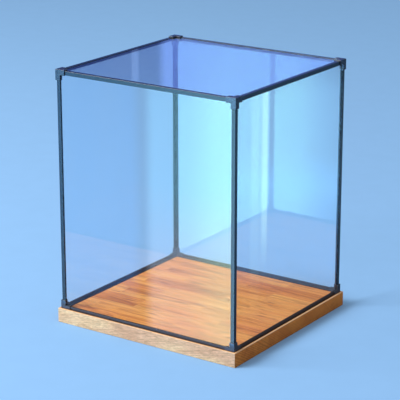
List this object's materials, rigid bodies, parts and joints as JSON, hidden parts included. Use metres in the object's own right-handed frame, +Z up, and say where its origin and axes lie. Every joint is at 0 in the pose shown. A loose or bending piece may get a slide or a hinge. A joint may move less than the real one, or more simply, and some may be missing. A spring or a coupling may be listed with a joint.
{
  "type": "display case",
  "caption": "Countertop display case: clear cover framed in thin black edge strips and corner connectors, lifting straight up off a grooved wooden base board.",
  "frame": {"origin": "middle of the base board's underside", "axes": "+Z up, +X along the front towards its right end, and the front faces -Y"},
  "size_m": [0.258, 0.247, 0.3155],
  "materials": {
    "wood": "warm orange-brown streaky grain, satin lacquer",
    "strip": "satin black moulded strip",
    "connector": "satin black moulded corner",
    "clear_panel": "clear polished acrylic"
  },
  "bodies": {
    "base": {"base_board": "wood"},
    "cover": {"bottom_rail_front": "strip", "bottom_rail_back": "strip", "bottom_rail_left": "strip", "bottom_rail_right": "strip", "top_rail_front": "strip", "top_rail_back": "strip", "top_rail_left": "strip", "top_rail_right": "strip", "corner_post_front_left": "strip", "corner_post_front_right": "strip", "corner_post_back_left": "strip", "corner_post_back_right": "strip", "connector_bottom_front_left": "connector", "connector_bottom_front_right": "connector", "connector_bottom_back_left": "connector", "connector_bottom_back_right": "connector", "connector_top_front_left": "connector", "connector_top_front_right": "connector", "connector_top_back_left": "connector", "connector_top_back_right": "connector", "front_panel": "clear_panel", "back_panel": "clear_panel", "left_panel": "clear_panel", "right_panel": "clear_panel", "top_panel": "clear_panel"}
  },
  "joints": [
    {"name": "cover_lift", "type": "slide", "parent": "base", "child": "cover", "axis": [0, 0, 1], "range_m": [0, 0.32]}
  ]
}
